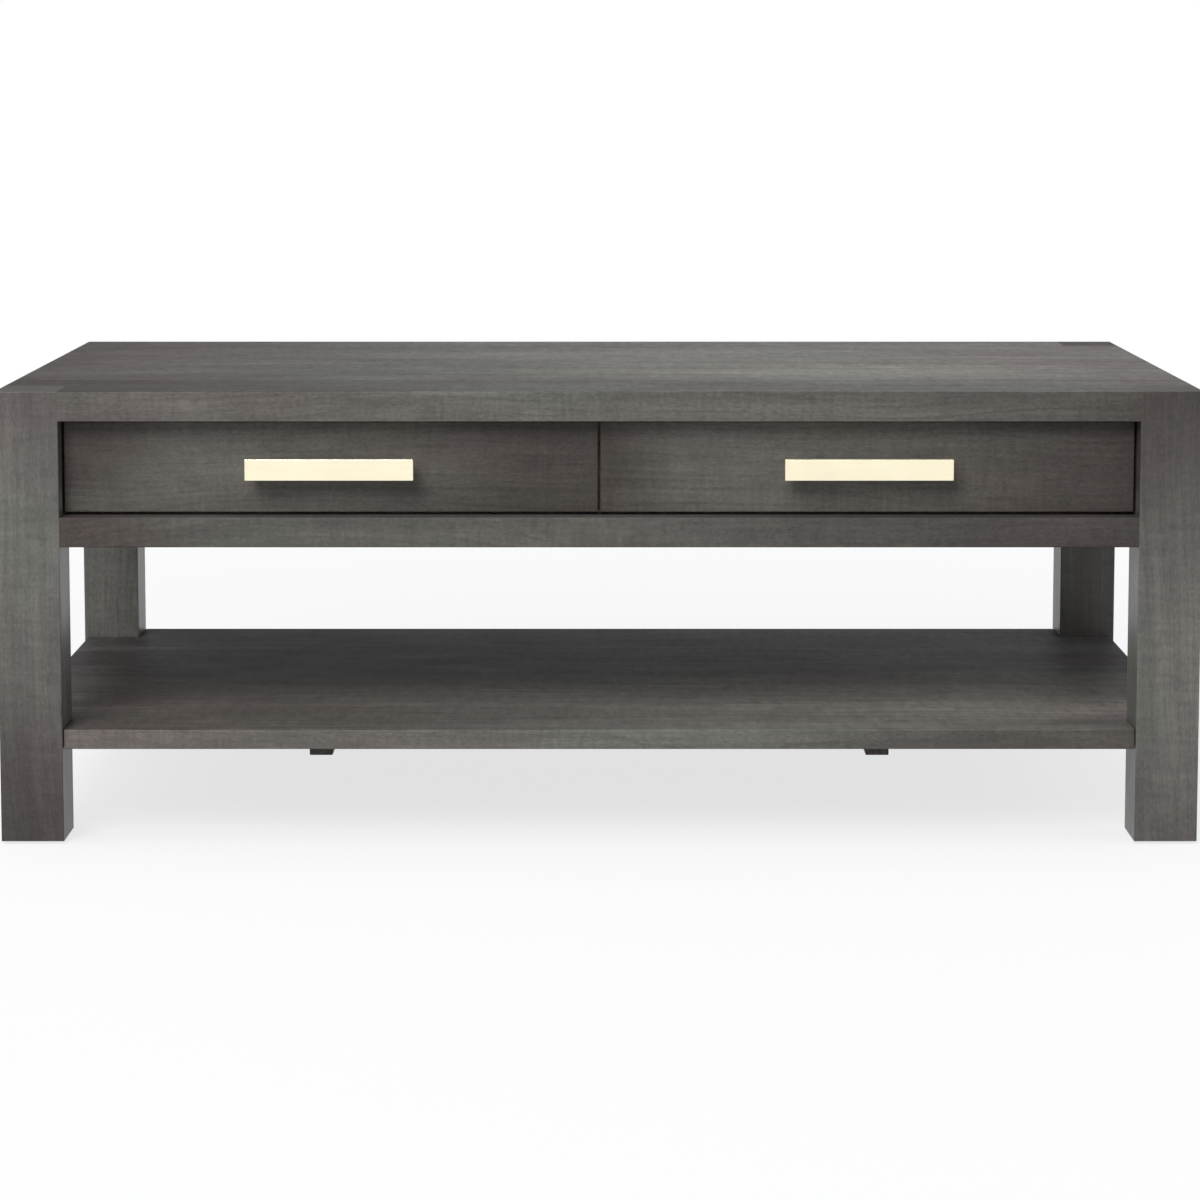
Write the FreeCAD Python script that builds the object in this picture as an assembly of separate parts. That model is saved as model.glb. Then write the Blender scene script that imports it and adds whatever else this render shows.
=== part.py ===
import FreeCAD, Part
import os

from FreeCAD import Vector

# Coffee table with two drawers and a lower shelf. Millimetres, X to the right, Y to the back, Z up.
# The origin is on the floor under the middle of the table, and the drawers open towards -Y.

# Overall size
TABLE_WIDTH = 1270.0
TABLE_DEPTH = 660.0
TABLE_HEIGHT = 483.0

# Timbers of the frame
LEG_SIDE = 66.5
TOP_THICKNESS = 31.5
OPENING_HEIGHT = 102.0  # from the front rail to the underside of the top
RAIL_HEIGHT = 31.5
PANEL_THICKNESS = 20.0  # aprons, divider and drawer fronts
STRETCHER_HEIGHT = 16.0
STRETCHER_DEPTH = 60.0
EDGE_EASE = 1.2  # rounding of the edges that a hand meets

# Mortise and tenon joints, glued face to face
TENON_THICKNESS = 10.0
TENON_CLEARANCE = 2.25  # between the tenons that meet in one leg
APRON_TENON_SHOULDER = 11.75
RAIL_TENON_SHOULDER = 8.25
RAIL_TENON_CHEEK = 13.25
STUB_TENON_LENGTH = 16.0
STUB_TENON_SHOULDER = 3.0
MORTISE_END_GAP = 1.0
DIVIDER_DADO_DEPTH = 5.0
DIVIDER_TONGUE_THICKNESS = 10.0
DIVIDER_TONGUE_DEPTH = 10.0

# Lower shelf
SHELF_TOP_HEIGHT = 122.5
SHELF_THICKNESS = 21.0
SHELF_INSET = 4.0  # from the outer faces of the legs
SHELF_NOTCH_GAP = 1.0
BATTEN_WIDTH = 25.0
BATTEN_HEIGHT = 19.0
BATTEN_INSET = 268.5  # from the legs to the middle of a batten
BATTEN_SCREW_INSET = 43.5
BATTEN_SCREW_BITE = 14.0
DOWEL_DIAMETER = 8.0
DOWEL_LENGTH = 40.0
DOWEL_SPACING = 32.0
DOWEL_END_GAP = 0.5

# Glides under the legs
GLIDE_DIAMETER = 24.0
GLIDE_HEIGHT = 3.0
GLIDE_NAIL_DIAMETER = 3.0
GLIDE_NAIL_LENGTH = 15.0

# Clips that hold the top down on the aprons
CLIP_SHEET = 2.5
CLIP_WIDTH = 22.0
CLIP_TONGUE = 8.0
CLIP_DROP = 11.0  # from the underside of the top to the tongue
CLIP_FLANGE = 24.0
CLIP_STANDOFF = 1.0
CLIP_INSET = 115.0  # from the legs to the first clip
CLIP_SCREW_BITE = 13.5
BACK_CLIPS = 4
SIDE_CLIPS = 2
KERF_GAP = 0.2
KERF_END_GAP = 2.0

# Screws
WOOD_SCREW_DIAMETER = 4.0
WOOD_SCREW_HEAD = 7.8
SCREW_COUNT = 3
SCREW_POINT_SHARE = 0.2  # diameter of the blunt point, as a share of the shank
RECESS_SPAN_SHARE = 0.56  # cross recess, as shares of the head
RECESS_WIDTH_SHARE = 0.13
RECESS_DEPTH_SHARE = 0.7
HOLE_CLEARANCE = 0.1

# Drawer fronts
FRONT_GAP_MIDDLE = 2.5  # between the two fronts
FRONT_GAP_LEG = 2.7
FRONT_GAP_BOTTOM = 3.0
FRONT_GAP_TOP = 2.5
FRONT_SETBACK = 2.75  # from the back of the fronts to the divider and the slides
FRONT_SCREW_INSET = 66.0  # from the sides of the box
FRONT_SCREW_ROW_INSET = 13.0  # from the bottom board and from the rim of the box
FRONT_SCREW_BITE = 14.0

# Drawer boxes
BOX_BOARD = 13.0
BOX_GAP_BELOW = 6.5  # above the front rail
BOX_GAP_ABOVE = 3.5  # under the upper stretcher
BOX_GAP_BEHIND = 70.75  # to the back apron
BOTTOM_THICKNESS = 6.0
BOTTOM_LIFT = 8.0
GROOVE_DEPTH = 6.0
GROOVE_END_GAP = 0.3
TAIL_PITCH = 25.0
TAIL_WIDTH = 16.5
TAIL_SLOPE = 1.0 / 6.0

# Handles
HANDLE_HOLE_SPACING = 160.0
HANDLE_OVERHANG = 8.5
HANDLE_HEIGHT = 22.5
HANDLE_THICKNESS = 10.0
HANDLE_PROJECTION = 30.0
HANDLE_POST_WIDTH = 10.0
HANDLE_POST_HEIGHT = 14.0
HANDLE_EASE = 0.7
HANDLE_SCREW_DIAMETER = 4.0
HANDLE_SCREW_BITE = 12.0
HANDLE_SCREW_HEAD = 8.0
HANDLE_SCREW_HEAD_HEIGHT = 2.4

# Ball-bearing slides
SLIDE_HEIGHT = 45.0
SLIDE_SHEET = 1.2
SLIDE_INNER_GAP = 1.3  # between the lips and the web of the drawer rail
CAGE_SHEET = 0.6
CAGE_STRIP = 0.8
CAGE_END_MARGIN = 4.0
RUN_GAP = 0.3
BALL_DIAMETER = 3.0
BALL_CLEARANCE = 0.05
BALL_POCKET_CLEARANCE = 0.1
BALL_SETBACK = 0.9  # from the edge of the drawer rail to the ball
BALLS_PER_ROW = 6
SLIDE_SCREW_DIAMETER = 3.5
SLIDE_SCREW_BITE = 8.3
CASE_SCREW_INSET = 10.0
DRAWER_SCREW_INSET = 40.0

# Packers between the side aprons and the slides
PACKER_MARGIN = 9.5  # above and below the slide
PACKER_SCREW_INSET = 5.0
PACKER_SCREW_END_INSET = 63.5
PACKER_SCREW_BITE = 13.0

# Levels of the frame
TOP_UNDERSIDE = TABLE_HEIGHT - TOP_THICKNESS
RAIL_TOP = TOP_UNDERSIDE - OPENING_HEIGHT
RAIL_BOTTOM = RAIL_TOP - RAIL_HEIGHT
STRETCHER_BOTTOM = TOP_UNDERSIDE - STRETCHER_HEIGHT
SHELF_BOTTOM = SHELF_TOP_HEIGHT - SHELF_THICKNESS

# Planes of the legs, of the aprons centred on them and of the drawer fronts
LEG_OUTER_X = TABLE_WIDTH / 2
LEG_OUTER_Y = TABLE_DEPTH / 2
LEG_INNER_X = LEG_OUTER_X - LEG_SIDE
LEG_INNER_Y = LEG_OUTER_Y - LEG_SIDE
LEG_CENTRE_X = LEG_OUTER_X - LEG_SIDE / 2
LEG_CENTRE_Y = LEG_OUTER_Y - LEG_SIDE / 2
APRON_OUTER_X = LEG_CENTRE_X + PANEL_THICKNESS / 2
APRON_INNER_X = LEG_CENTRE_X - PANEL_THICKNESS / 2
APRON_OUTER_Y = LEG_CENTRE_Y + PANEL_THICKNESS / 2
APRON_INNER_Y = LEG_CENTRE_Y - PANEL_THICKNESS / 2
FRONT_FACE_Y = -APRON_OUTER_Y
FRONT_BACK_Y = -APRON_INNER_Y
CASE_FRONT_Y = FRONT_BACK_Y + FRONT_SETBACK
TENON_LENGTH = (LEG_SIDE - TENON_THICKNESS) / 2 - TENON_CLEARANCE
BATTEN_X = LEG_INNER_X - BATTEN_INSET

# Sections of a slide: u runs from the case to the drawer, v from the middle line outwards
CASE_HALF = SLIDE_HEIGHT / 2
BALL_SPACE = BALL_DIAMETER + 2 * BALL_CLEARANCE
MIDDLE_HALF = CASE_HALF - SLIDE_SHEET - BALL_SPACE
DRAWER_HALF = MIDDLE_HALF - SLIDE_SHEET - BALL_SPACE
OUTER_CAGE_U = SLIDE_SHEET + RUN_GAP
MIDDLE_U = OUTER_CAGE_U + CAGE_SHEET + RUN_GAP
INNER_CAGE_U = MIDDLE_U + SLIDE_SHEET + RUN_GAP
DRAWER_EDGE_U = INNER_CAGE_U + CAGE_SHEET + RUN_GAP
BALL_U = DRAWER_EDGE_U + BALL_SETBACK + BALL_DIAMETER / 2
LIP_U = BALL_U + BALL_DIAMETER / 2 + RUN_GAP
LIP_END_U = LIP_U + SLIDE_SHEET
SLIDE_THICKNESS = LIP_END_U + SLIDE_INNER_GAP + SLIDE_SHEET
SLIDE_BACK_Y = APRON_INNER_Y - BOX_GAP_BEHIND
SLIDE_LENGTH = SLIDE_BACK_Y - CASE_FRONT_Y

# A cage runs at half the speed between its two rails, so it stays between them over the whole travel
CAGE_FRONT_Y = CASE_FRONT_Y + SLIDE_LENGTH / 4 + CAGE_END_MARGIN
CAGE_BACK_Y = CASE_FRONT_Y + SLIDE_LENGTH * 3 / 4 - CAGE_END_MARGIN

# Right-hand drawer; the left-hand one is its mirror image
FRONT_X0 = FRONT_GAP_MIDDLE / 2
FRONT_X1 = LEG_INNER_X - FRONT_GAP_LEG
FRONT_Z0 = RAIL_TOP + FRONT_GAP_BOTTOM
FRONT_Z1 = TOP_UNDERSIDE - FRONT_GAP_TOP
BOX_X0 = PANEL_THICKNESS / 2 + SLIDE_THICKNESS
BOX_X1 = LEG_INNER_X - SLIDE_THICKNESS
BOX_Y0 = FRONT_BACK_Y
BOX_Y1 = SLIDE_BACK_Y
BOX_Z0 = RAIL_TOP + BOX_GAP_BELOW
BOX_Z1 = STRETCHER_BOTTOM - BOX_GAP_ABOVE
SLIDE_Z = (BOX_Z0 + BOX_Z1) / 2
HANDLE_X = (FRONT_X0 + FRONT_X1) / 2
HANDLE_Z = (FRONT_Z0 + FRONT_Z1) / 2

TOUCH = 0.001  # two places closer than this are the same place

RIGHT = Vector(1, 0, 0)
LEFT = Vector(-1, 0, 0)
FORWARD = Vector(0, -1, 0)
UP = Vector(0, 0, 1)
ORIGIN = Vector(0, 0, 0)


# Shapes that repeat


def block(x0, x1, y0, y1, z0, z1):
    """Box between two planes on each axis, given in either order."""
    corner = Vector(min(x0, x1), min(y0, y1), min(z0, z1))
    return Part.makeBox(abs(x1 - x0), abs(y1 - y0), abs(z1 - z0), corner)


def joined(*shapes):
    """One solid from shapes that touch or overlap, without the seams between their flat faces."""
    return shapes[0].fuse(list(shapes[1:])).removeSplitter()


def mirrored(shape):
    """The same piece on the left-hand half of the table."""
    return shape.mirror(ORIGIN, RIGHT)


def both_sides(shapes):
    """A list of right-hand pieces with their left-hand twins."""
    return shapes + [mirrored(shape) for shape in shapes]


def edges_on(shape, axis, place, along=None):
    """Edges that lie in the plane axis = place, only those that run along one axis if it is given."""
    found = []
    for edge in shape.Edges:
        bounds = edge.BoundBox
        low = getattr(bounds, axis + "Min")
        high = getattr(bounds, axis + "Max")
        if abs(low - place) > TOUCH or abs(high - place) > TOUCH:
            continue
        if along and getattr(bounds, along + "Length") < TOUCH:
            continue
        found.append(edge)
    return found


def upright_edges(shape):
    """Edges that run along Z."""
    return [edge for edge in shape.Edges if edge.BoundBox.ZLength > TOUCH]


def evenly(count, spacing):
    """Places around zero at one spacing."""
    return [(index - (count - 1) / 2) * spacing for index in range(count)]


def spread(count, reach):
    """Places from one end to the other of a run that reaches as far to both sides of zero."""
    return evenly(count, 2 * reach / (count - 1))


def placed(shape, point, direction):
    """A shape made along +Z, set at a point and turned to a direction."""
    moved = shape.copy()
    moved.Placement = FreeCAD.Placement(point, FreeCAD.Rotation(UP, direction))
    return moved


def flush_body(length, diameter, head):
    """Countersunk screw without its recess: head face at zero, driven along +Z."""
    head_depth = (head - diameter) / 2
    point_length = diameter
    cone = Part.makeCone(head / 2, diameter / 2, head_depth)
    shank_length = length - head_depth - point_length
    shank = Part.makeCylinder(diameter / 2, shank_length, UP * head_depth)
    point_radius = diameter / 2 * SCREW_POINT_SHARE
    point = Part.makeCone(diameter / 2, point_radius, point_length, UP * (length - point_length))
    return joined(cone, shank, point)


def cross_recess(head, depth):
    """Cross-shaped driver recess sunk from zero along +Z."""
    span = head * RECESS_SPAN_SHARE / 2
    width = head * RECESS_WIDTH_SHARE / 2
    return [
        block(-span, span, -width, width, 0, depth),
        block(-width, width, -span, span, 0, depth),
    ]


def flush_screws(places, direction, length, diameter=WOOD_SCREW_DIAMETER, head=WOOD_SCREW_HEAD):
    """Countersunk screws with their head faces at the given places."""
    depth = (head - diameter) / 2 * RECESS_DEPTH_SHARE
    screw = flush_body(length, diameter, head).cut(cross_recess(head, depth))
    return [placed(screw, place, direction) for place in places]


def flush_holes(places, direction, length, diameter=WOOD_SCREW_DIAMETER, head=WOOD_SCREW_HEAD):
    """Countersunk holes for the same screws, wider all round by the clearance."""
    wide = 2 * HOLE_CLEARANCE
    hole = flush_body(length + HOLE_CLEARANCE, diameter + wide, head + wide)
    return [placed(hole, place, direction) for place in places]


# Frame


def table_outline():
    """Whole table as one block with the rounded outer corners and rounded top edges."""
    outline = block(-LEG_OUTER_X, LEG_OUTER_X, -LEG_OUTER_Y, LEG_OUTER_Y, GLIDE_HEIGHT, TABLE_HEIGHT)
    edges = upright_edges(outline) + edges_on(outline, "Z", TABLE_HEIGHT)
    return outline.makeFillet(EDGE_EASE, edges)


def leg_block(side, z0, z1):
    """Square of the right-hand leg at the back (side 1) or the front (side -1)."""
    return block(LEG_INNER_X, LEG_OUTER_X, side * LEG_INNER_Y, side * LEG_OUTER_Y, z0, z1)


def side_tenon(side, length):
    """Tenon of the right-hand apron that enters the back (1) or front (-1) leg."""
    return block(
        LEG_CENTRE_X - TENON_THICKNESS / 2,
        LEG_CENTRE_X + TENON_THICKNESS / 2,
        side * LEG_INNER_Y,
        side * (LEG_INNER_Y + length),
        RAIL_BOTTOM + APRON_TENON_SHOULDER,
        TOP_UNDERSIDE - APRON_TENON_SHOULDER,
    )


def back_tenon(length):
    """Tenon at the right-hand end of the back apron."""
    return block(
        LEG_INNER_X,
        LEG_INNER_X + length,
        LEG_CENTRE_Y - TENON_THICKNESS / 2,
        LEG_CENTRE_Y + TENON_THICKNESS / 2,
        RAIL_BOTTOM + APRON_TENON_SHOULDER,
        TOP_UNDERSIDE - APRON_TENON_SHOULDER,
    )


def rail_tenon(length):
    """Flat tenon at the right-hand end of the front rail."""
    return block(
        LEG_INNER_X,
        LEG_INNER_X + length,
        -LEG_OUTER_Y + RAIL_TENON_CHEEK,
        -LEG_INNER_Y - RAIL_TENON_CHEEK,
        RAIL_BOTTOM + RAIL_TENON_SHOULDER,
        RAIL_TOP - RAIL_TENON_SHOULDER,
    )


def stub_tenon(length):
    """Short tenon at the right-hand end of the upper stretcher."""
    return block(
        LEG_INNER_X,
        LEG_INNER_X + length,
        CASE_FRONT_Y + STUB_TENON_SHOULDER,
        -LEG_INNER_Y - STUB_TENON_SHOULDER,
        STRETCHER_BOTTOM + STUB_TENON_SHOULDER,
        TOP_UNDERSIDE - STUB_TENON_SHOULDER,
    )


def divider_tongue():
    """Tongue under the front end of the divider, let into the rail."""
    return block(
        -DIVIDER_TONGUE_THICKNESS / 2,
        DIVIDER_TONGUE_THICKNESS / 2,
        CASE_FRONT_Y + STUB_TENON_SHOULDER,
        -LEG_INNER_Y - STUB_TENON_SHOULDER,
        RAIL_TOP - DIVIDER_TONGUE_DEPTH,
        RAIL_TOP,
    )


def dowel_places(side):
    """Centres of the dowels where the right-hand leg meets the shelf."""
    z = SHELF_BOTTOM + SHELF_THICKNESS / 2
    return [Vector(LEG_INNER_X, side * LEG_CENTRE_Y + shift, z) for shift in evenly(2, DOWEL_SPACING)]


def dowels(side, clearance=0.0, end_gap=0.0):
    """Dowels of one right-hand leg, or the holes for them."""
    half = DOWEL_LENGTH / 2 + end_gap
    radius = DOWEL_DIAMETER / 2 + clearance
    return [
        Part.makeCylinder(radius, 2 * half, centre - RIGHT * half, RIGHT) for centre in dowel_places(side)
    ]


def glide(side, clearance=0.0):
    """Glide of one right-hand leg: a disc on the floor and a nail driven up into the leg."""
    foot = Vector(LEG_CENTRE_X, side * LEG_CENTRE_Y, 0)
    disc = Part.makeCylinder(GLIDE_DIAMETER / 2, GLIDE_HEIGHT, foot)
    nail_length = GLIDE_HEIGHT + GLIDE_NAIL_LENGTH + clearance
    nail = Part.makeCylinder(GLIDE_NAIL_DIAMETER / 2 + clearance, nail_length, foot)
    return joined(disc, nail)


def leg(side, outline):
    """Right-hand leg at the back (1) or the front (-1), with the sockets of all that joins it."""
    lower = leg_block(side, GLIDE_HEIGHT, RAIL_BOTTOM)
    lower = lower.makeFillet(EDGE_EASE, upright_edges(lower))
    upper = leg_block(side, RAIL_BOTTOM, TABLE_HEIGHT).common(outline)
    sockets = [side_tenon(side, TENON_LENGTH + MORTISE_END_GAP), glide(side, HOLE_CLEARANCE)]
    sockets += dowels(side, HOLE_CLEARANCE, DOWEL_END_GAP)
    if side > 0:
        sockets.append(back_tenon(TENON_LENGTH + MORTISE_END_GAP))
    else:
        sockets.append(rail_tenon(TENON_LENGTH + MORTISE_END_GAP))
        sockets.append(stub_tenon(STUB_TENON_LENGTH + MORTISE_END_GAP))
        sockets += case_screw_holes()
    return joined(lower, upper).cut(sockets)


def front_rail():
    """Rail under the drawers, as deep as the legs and flush with them."""
    rail = block(-LEG_INNER_X, LEG_INNER_X, -LEG_OUTER_Y, -LEG_INNER_Y, RAIL_BOTTOM, RAIL_TOP)
    rail = rail.makeFillet(EDGE_EASE, edges_on(rail, "Y", -LEG_OUTER_Y, "X"))
    rail = joined(rail, *both_sides([rail_tenon(TENON_LENGTH)]))
    return rail.cut(divider_tongue())


def upper_stretcher():
    """Flat stretcher under the front of the top, behind the drawer fronts."""
    back = CASE_FRONT_Y + STRETCHER_DEPTH
    bar = block(-LEG_INNER_X, LEG_INNER_X, CASE_FRONT_Y, back, STRETCHER_BOTTOM, TOP_UNDERSIDE)
    return joined(bar, *both_sides([stub_tenon(STUB_TENON_LENGTH)]))


def centre_divider():
    """Upright board between the drawers, let into the back apron and the front rail."""
    half = PANEL_THICKNESS / 2
    back = APRON_INNER_Y + DIVIDER_DADO_DEPTH
    board = block(-half, half, CASE_FRONT_Y, back, RAIL_TOP, TOP_UNDERSIDE)
    notch_back = CASE_FRONT_Y + STRETCHER_DEPTH
    notch = block(-half, half, CASE_FRONT_Y, notch_back, STRETCHER_BOTTOM, TOP_UNDERSIDE)
    board = joined(board.cut(notch), divider_tongue())
    return board.cut(both_sides(divider_screw_holes()))


def side_apron():
    """Right-hand apron with a tenon at each end."""
    panel = block(APRON_INNER_X, APRON_OUTER_X, -LEG_INNER_Y, LEG_INNER_Y, RAIL_BOTTOM, TOP_UNDERSIDE)
    panel = panel.makeFillet(EDGE_EASE, edges_on(panel, "Z", RAIL_BOTTOM, "Y"))
    panel = joined(panel, side_tenon(1, TENON_LENGTH), side_tenon(-1, TENON_LENGTH))
    return panel.cut(packer_screw_holes() + side_clip_kerfs())


def back_apron():
    """Apron between the back legs, grooved for the divider."""
    panel = block(-LEG_INNER_X, LEG_INNER_X, APRON_INNER_Y, APRON_OUTER_Y, RAIL_BOTTOM, TOP_UNDERSIDE)
    panel = panel.makeFillet(EDGE_EASE, edges_on(panel, "Z", RAIL_BOTTOM, "X"))
    panel = joined(panel, *both_sides([back_tenon(TENON_LENGTH)]))
    half = PANEL_THICKNESS / 2
    dado = block(-half, half, APRON_INNER_Y, APRON_INNER_Y + DIVIDER_DADO_DEPTH, RAIL_TOP, TOP_UNDERSIDE)
    return panel.cut([dado] + back_clip_kerfs())


def top_panel(outline):
    """Top board, notched at its corners for the legs that come up flush with it."""
    panel = block(-LEG_OUTER_X, LEG_OUTER_X, -LEG_OUTER_Y, LEG_OUTER_Y, TOP_UNDERSIDE, TABLE_HEIGHT)
    corners = both_sides([leg_block(side, TOP_UNDERSIDE, TABLE_HEIGHT) for side in (-1, 1)])
    holes = flush_holes(clip_screw_places(), UP, CLIP_SHEET + CLIP_SCREW_BITE)
    return panel.common(outline).cut(corners + holes)


# Clips under the top


def clip_profile():
    """Corners of a clip's bent section: distance inwards from the apron, and height."""
    tongue_top = TOP_UNDERSIDE - CLIP_DROP
    tongue_bottom = tongue_top - CLIP_SHEET
    flange_bottom = TOP_UNDERSIDE - CLIP_SHEET
    riser_back = CLIP_STANDOFF + CLIP_SHEET
    flange_end = CLIP_STANDOFF + CLIP_FLANGE
    return [
        (-CLIP_TONGUE, tongue_bottom),
        (riser_back, tongue_bottom),
        (riser_back, flange_bottom),
        (flange_end, flange_bottom),
        (flange_end, TOP_UNDERSIDE),
        (CLIP_STANDOFF, TOP_UNDERSIDE),
        (CLIP_STANDOFF, tongue_top),
        (-CLIP_TONGUE, tongue_top),
    ]


def side_clip_shifts():
    """Places of the clips along the side aprons."""
    return spread(SIDE_CLIPS, LEG_INNER_Y - CLIP_INSET)


def back_clip_shifts():
    """Places of the clips along the back apron."""
    return spread(BACK_CLIPS, LEG_INNER_X - CLIP_INSET)


def side_clips():
    """Clips in the right-hand apron, without screw holes."""
    corners = [Vector(APRON_INNER_X - inwards, -CLIP_WIDTH / 2, z) for inwards, z in clip_profile()]
    face = Part.Face(Part.makePolygon(corners + corners[:1]))
    clip = face.extrude(Vector(0, CLIP_WIDTH, 0))
    return [clip.translated(Vector(0, shift, 0)) for shift in side_clip_shifts()]


def back_clips():
    """Clips in the back apron, without screw holes."""
    corners = [Vector(-CLIP_WIDTH / 2, APRON_INNER_Y - inwards, z) for inwards, z in clip_profile()]
    face = Part.Face(Part.makePolygon(corners + corners[:1]))
    clip = face.extrude(Vector(CLIP_WIDTH, 0, 0))
    return [clip.translated(Vector(shift, 0, 0)) for shift in back_clip_shifts()]


def clip_screw_places():
    """Head faces of the clip screws, all under the flanges."""
    inwards = CLIP_STANDOFF + (CLIP_SHEET + CLIP_FLANGE) / 2
    z = TOP_UNDERSIDE - CLIP_SHEET
    places = [Vector(shift, APRON_INNER_Y - inwards, z) for shift in back_clip_shifts()]
    for shift in side_clip_shifts():
        places.append(Vector(APRON_INNER_X - inwards, shift, z))
        places.append(Vector(inwards - APRON_INNER_X, shift, z))
    return places


def top_clips():
    """All clips with their screw holes."""
    holes = flush_holes(clip_screw_places(), UP, CLIP_SHEET + CLIP_SCREW_BITE)
    return [clip.cut(holes) for clip in both_sides(side_clips()) + back_clips()]


def kerf_levels():
    """Bottom and top of the saw kerf that takes the tongues."""
    tongue_top = TOP_UNDERSIDE - CLIP_DROP
    return tongue_top - CLIP_SHEET - KERF_GAP, tongue_top + KERF_GAP


def side_clip_kerfs():
    """Kerfs in the right-hand apron."""
    bottom, top = kerf_levels()
    half = CLIP_WIDTH / 2 + KERF_END_GAP
    depth = APRON_INNER_X + CLIP_TONGUE + KERF_GAP
    return [
        block(APRON_INNER_X, depth, shift - half, shift + half, bottom, top) for shift in side_clip_shifts()
    ]


def back_clip_kerfs():
    """Kerfs in the back apron."""
    bottom, top = kerf_levels()
    half = CLIP_WIDTH / 2 + KERF_END_GAP
    depth = APRON_INNER_Y + CLIP_TONGUE + KERF_GAP
    return [
        block(shift - half, shift + half, APRON_INNER_Y, depth, bottom, top) for shift in back_clip_shifts()
    ]


# Lower shelf


def batten_screw_places():
    """Head faces of the screws under the right-hand batten."""
    z = SHELF_BOTTOM - BATTEN_HEIGHT
    reach = LEG_INNER_Y - BATTEN_SCREW_INSET
    return [Vector(BATTEN_X, shift, z) for shift in spread(SCREW_COUNT, reach)]


def batten_screw_holes():
    """Holes for the right-hand batten's screws."""
    return flush_holes(batten_screw_places(), UP, BATTEN_HEIGHT + BATTEN_SCREW_BITE)


def lower_shelf():
    """Shelf board, notched round the four legs and bored for dowels and batten screws."""
    half_x = LEG_OUTER_X - SHELF_INSET
    half_y = LEG_OUTER_Y - SHELF_INSET
    shelf = block(-half_x, half_x, -half_y, half_y, SHELF_BOTTOM, SHELF_TOP_HEIGHT)
    notch_x = LEG_INNER_X - SHELF_NOTCH_GAP
    notch_y = LEG_INNER_Y - SHELF_NOTCH_GAP
    notches = both_sides(
        [
            block(notch_x, half_x, side * notch_y, side * half_y, SHELF_BOTTOM, SHELF_TOP_HEIGHT)
            for side in (-1, 1)
        ]
    )
    shelf = shelf.cut(notches)
    edges = []
    for side in (-1, 1):
        edges += edges_on(shelf, "X", side * half_x, "Y")
        edges += edges_on(shelf, "Y", side * half_y, "X")
    shelf = shelf.makeFillet(EDGE_EASE, edges)
    holes = batten_screw_holes()
    for side in (-1, 1):
        holes += dowels(side, HOLE_CLEARANCE, DOWEL_END_GAP)
    return shelf.cut(both_sides(holes))


def shelf_batten():
    """Right-hand batten across the underside of the shelf."""
    batten = block(
        BATTEN_X - BATTEN_WIDTH / 2,
        BATTEN_X + BATTEN_WIDTH / 2,
        -LEG_INNER_Y,
        LEG_INNER_Y,
        SHELF_BOTTOM - BATTEN_HEIGHT,
        SHELF_BOTTOM,
    )
    batten = batten.makeFillet(EDGE_EASE, edges_on(batten, "Z", SHELF_BOTTOM - BATTEN_HEIGHT, "Y"))
    return batten.cut(batten_screw_holes())


# Packers that bring the side aprons out to the plane of the legs


def packer_screw_places():
    """Head faces of the screws in the right-hand packer, above and below the slide."""
    rise = CASE_HALF + PACKER_SCREW_INSET
    return [
        Vector(LEG_INNER_X, shift, SLIDE_Z + side * rise)
        for shift in spread(SCREW_COUNT, LEG_INNER_Y - PACKER_SCREW_END_INSET)
        for side in (-1, 1)
    ]


def packer_screw_length():
    """Length that passes the packer and bites into the apron."""
    return APRON_INNER_X - LEG_INNER_X + PACKER_SCREW_BITE


def packer_screw_holes():
    """Holes for the right-hand packer's screws."""
    return flush_holes(packer_screw_places(), RIGHT, packer_screw_length())


def slide_packer():
    """Right-hand packer."""
    half = CASE_HALF + PACKER_MARGIN
    packer = block(LEG_INNER_X, APRON_INNER_X, -LEG_INNER_Y, LEG_INNER_Y, SLIDE_Z - half, SLIDE_Z + half)
    return packer.cut(packer_screw_holes() + case_screw_holes())


# Slides: each one lies between a face of the case and a side of the drawer box


def slide_bars(face, outwards, front, back, sections):
    """Bars of one slide member, joined, from sections (u0, u1, v0, v1) mirrored about its middle line."""
    bars = []
    for u0, u1, v0, v1 in sections:
        for side in (-1, 1):
            x0 = face + outwards * u0
            x1 = face + outwards * u1
            bars.append(block(x0, x1, front, back, SLIDE_Z + side * v0, SLIDE_Z + side * v1))
    return joined(*bars)


def case_rail(face, outwards):
    """Rail screwed to the case: web, two flanges and the lips that keep the balls in."""
    inner = CASE_HALF - SLIDE_SHEET
    sections = [
        (0, SLIDE_SHEET, 0, CASE_HALF),
        (0, LIP_END_U, inner, CASE_HALF),
        (LIP_U, LIP_END_U, inner - SLIDE_SHEET, CASE_HALF),
    ]
    return slide_bars(face, outwards, CASE_FRONT_Y, SLIDE_BACK_Y, sections)


def middle_rail(face, outwards):
    """Rail that runs in the case rail and carries the drawer rail."""
    inner = MIDDLE_HALF - SLIDE_SHEET
    sections = [
        (MIDDLE_U, MIDDLE_U + SLIDE_SHEET, 0, MIDDLE_HALF),
        (MIDDLE_U, LIP_END_U, inner, MIDDLE_HALF),
        (LIP_U, LIP_END_U, inner - SLIDE_SHEET, MIDDLE_HALF),
    ]
    return slide_bars(face, outwards, CASE_FRONT_Y, SLIDE_BACK_Y, sections)


def drawer_rail(face, outwards):
    """Rail screwed to the drawer side, open towards the case."""
    sections = [
        (SLIDE_THICKNESS - SLIDE_SHEET, SLIDE_THICKNESS, 0, DRAWER_HALF),
        (DRAWER_EDGE_U, SLIDE_THICKNESS, DRAWER_HALF - SLIDE_SHEET, DRAWER_HALF),
    ]
    return slide_bars(face, outwards, CASE_FRONT_Y, SLIDE_BACK_Y, sections)


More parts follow.
